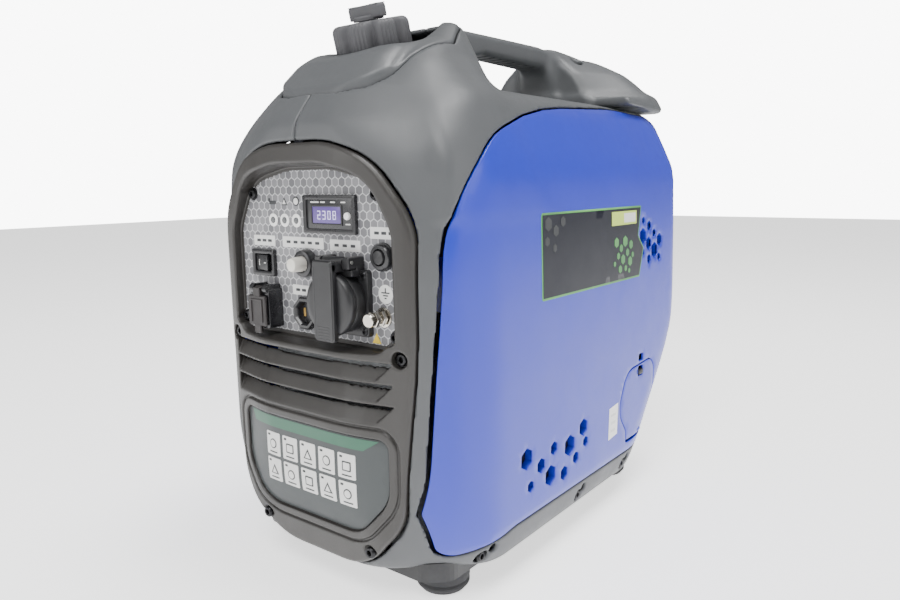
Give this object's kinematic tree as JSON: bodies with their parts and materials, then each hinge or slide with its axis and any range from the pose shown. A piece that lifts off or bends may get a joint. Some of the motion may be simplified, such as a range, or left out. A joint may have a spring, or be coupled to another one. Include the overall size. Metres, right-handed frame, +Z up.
{
  "type": "portable inverter generator",
  "caption": "Suitcase-style portable generator with moulded shells, carry handle, lobed fuel cap, front control panel with sockets, hinged oil door and recoil starter.",
  "frame": {"origin": "centre of the footprint box, on the ground under the feet", "axes": "+X to the user's right when facing the control panel, +Y to the rear, +Z up"},
  "size_m": [0.2754, 0.456, 0.4698],
  "materials": {
    "shell": "fine texture, light sheen",
    "side_panel": "satin painted",
    "bezel": "satin",
    "dark_plastic": "matt",
    "gloss_black": "satin",
    "plate": "printed, satin",
    "panel": "printed hexagon pattern",
    "window": "clear over a lit display",
    "white_plastic": "satin",
    "lamp": "translucent",
    "clear_button": "translucent",
    "port_flap": "matt",
    "lid": "satin",
    "steel": "brushed",
    "nickel": "nickel plated",
    "screw": "blackened",
    "cap": "rough moulded",
    "tank": "matt",
    "casting": "as cast",
    "ceramic": "glazed",
    "exhaust": "heat tinted",
    "coil": "wound copper wire",
    "fan": "cast",
    "cord": "braided",
    "grip": "moulded",
    "foot": "moulded"
  },
  "bodies": {
    "housing": {"right_shell": "shell", "left_shell": "shell", "right_side_panel": "side_panel", "left_side_panel": "side_panel", "front_bezel": "bezel", "rear_cover": "dark_plastic", "base_tray": "dark_plastic", "filler_deck": "shell", "carry_handle": "shell", "instruction_plate": "plate", "control_panel": "panel", "display_housing": "gloss_black", "display_window": "window", "indicator_lamps": "lamp", "eco_switch_body": "gloss_black", "breaker_body": "gloss_black", "dc_socket": "gloss_black", "port_housing": "gloss_black", "ac_socket_base": "lid", "lid_hinge_pin": "steel", "reset_button_body": "gloss_black", "ground_terminal": "nickel", "panel_screws": "screw", "bezel_screws": "screw", "sill_screws": "screw", "handle_screws": "screw", "fuel_tank": "tank", "engine_block": "casting", "cylinder_head": "casting", "spark_plug": "ceramic", "oil_filler_cap": "dark_plastic", "muffler": "exhaust", "exhaust_outlet": "exhaust", "stator": "coil", "inverter_module": "casting", "air_cleaner": "dark_plastic", "carburettor": "casting", "recoil_housing": "dark_plastic", "rope_guide": "dark_plastic", "engine_mounts": "grip", "feet": "foot", "switch_bezel": "dark_plastic"},
    "cap_liner": {"fuel_cap_liner": "tank"},
    "cap": {"fuel_cap": "cap"},
    "vent_lever": {"vent_lever": "cap"},
    "ac_lid": {"ac_socket_lid": "lid"},
    "port_cover": {"port_cover": "port_flap"},
    "eco_rocker": {"eco_rocker": "gloss_black"},
    "breaker_button": {"breaker_button": "clear_button"},
    "reset_button": {"reset_button": "gloss_black"},
    "mode_button": {"mode_button": "white_plastic"},
    "oil_door": {"oil_door": "side_panel"},
    "oil_door_latch": {"oil_door_latch": "dark_plastic"},
    "starter_grip": {"recoil_grip": "grip", "starter_rope": "cord"},
    "starter_pulley": {"recoil_pulley": "dark_plastic"},
    "crankshaft": {"crankshaft": "steel", "flywheel_fan": "fan"},
    "engine_switch": {"engine_switch_knob": "dark_plastic"}
  },
  "joints": [
    {"name": "cap_lift", "type": "slide", "parent": "housing", "child": "cap_liner", "axis": [0, -0.2588, 0.9659], "range_m": [0, 0.024]},
    {"name": "cap_turn", "type": "hinge", "parent": "cap_liner", "child": "cap", "pos_m": [0, -0.124, 0.433], "axis": [0, -0.2588, 0.9659], "range_deg": [0, 1080]},
    {"name": "vent_turn", "type": "hinge", "parent": "cap", "child": "vent_lever", "pos_m": [0, -0.124, 0.433], "axis": [0, -0.2588, 0.9659], "range_deg": [0, 90]},
    {"name": "ac_lid_hinge", "type": "hinge", "parent": "housing", "child": "ac_lid", "pos_m": [0.038, -0.214, 0.27], "axis": [-1, 0, 0], "range_deg": [0, 110], "stiffness_Nm_per_rad": 0.03, "springref_deg": -22.92},
    {"name": "port_cover_hinge", "type": "hinge", "parent": "housing", "child": "port_cover", "pos_m": [-0.051, -0.214, 0.243], "axis": [-1, 0, 0], "range_deg": [0, 100]},
    {"name": "eco_rocker_hinge", "type": "hinge", "parent": "housing", "child": "eco_rocker", "pos_m": [-0.058, -0.201, 0.263], "axis": [0, 0, 1], "range_deg": [0, 16]},
    {"name": "breaker_pop", "type": "slide", "parent": "housing", "child": "breaker_button", "axis": [0, -1, 0], "range_m": [0, 0.003]},
    {"name": "reset_press", "type": "slide", "parent": "housing", "child": "reset_button", "axis": [0, 1, 0], "range_m": [0, 0.002], "stiffness_N_per_m": 200, "springref_m": -0.001},
    {"name": "mode_press", "type": "slide", "parent": "housing", "child": "mode_button", "axis": [0, 1, 0], "range_m": [0, 0.001], "stiffness_N_per_m": 200, "springref_m": -0.001},
    {"name": "oil_door_hinge", "type": "hinge", "parent": "housing", "child": "oil_door", "pos_m": [0.132, 0.11, 0.066], "axis": [0, 1, 0], "range_deg": [0, 80]},
    {"name": "oil_latch_slide", "type": "slide", "parent": "oil_door", "child": "oil_door_latch", "axis": [0, 0, 1], "range_m": [0, 0.003], "stiffness_N_per_m": 150, "springref_m": -0.001},
    {"name": "recoil_pull", "type": "slide", "parent": "housing", "child": "starter_grip", "axis": [-1, 0, 0], "range_m": [0, 0.12], "stiffness_N_per_m": 60, "springref_m": -0.05},
    {"name": "recoil_pulley_turn", "type": "hinge", "parent": "housing", "child": "starter_pulley", "pos_m": [0, 0.028, 0.118], "axis": [1, 0, 0], "range_deg": [0, 230]},
    {"name": "crank_turn", "type": "hinge", "parent": "housing", "child": "crankshaft", "pos_m": [0, 0.028, 0.118], "axis": [1, 0, 0], "continuous": true},
    {"name": "engine_switch_turn", "type": "hinge", "parent": "housing", "child": "engine_switch", "pos_m": [-0.138, -0.112, 0.13], "axis": [1, 0, 0], "range_deg": [0, 90]}
  ],
  "couplings": [
    {"joint": "cap_turn", "follows": "cap_lift", "rad_per_m": 785.39},
    {"joint": "recoil_pulley_turn", "follows": "recoil_pull", "rad_per_m": 33.333}
  ]
}
